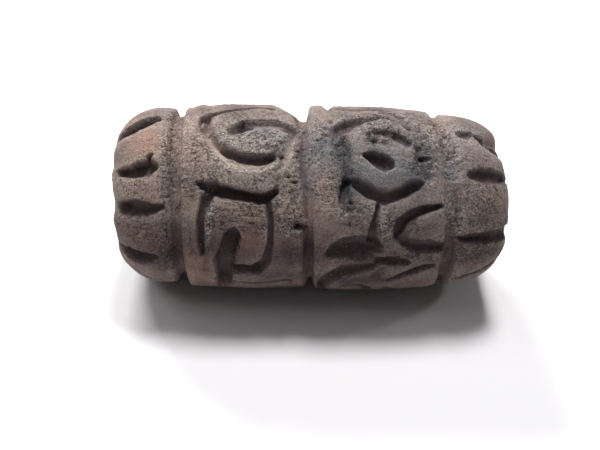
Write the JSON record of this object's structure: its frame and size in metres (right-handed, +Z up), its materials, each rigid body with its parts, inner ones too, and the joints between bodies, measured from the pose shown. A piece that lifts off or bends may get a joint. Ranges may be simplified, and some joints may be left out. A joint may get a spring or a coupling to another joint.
{
  "type": "cylinder seal",
  "caption": "Fired-clay cylinder seal: a stout bored barrel with ring grooves, notched end bands and carved scroll panels that print a running pattern when it is rolled.",
  "frame": {"origin": "on the surface it rests on, under the middle of the barrel", "axes": "+X along the bore, towards the end with the narrower band; +Z up, away from the surface it rests on; the carving that shows best faces -Y and up"},
  "size_m": [0.0634, 0.031, 0.0307],
  "materials": {
    "cylinder_seal": "matt fired clay, reddish brown, with sooty patches and pale dust on the raised parts"
  },
  "bodies": {
    "root": {"cylinder_seal": "cylinder_seal"}
  },
  "joints": []
}
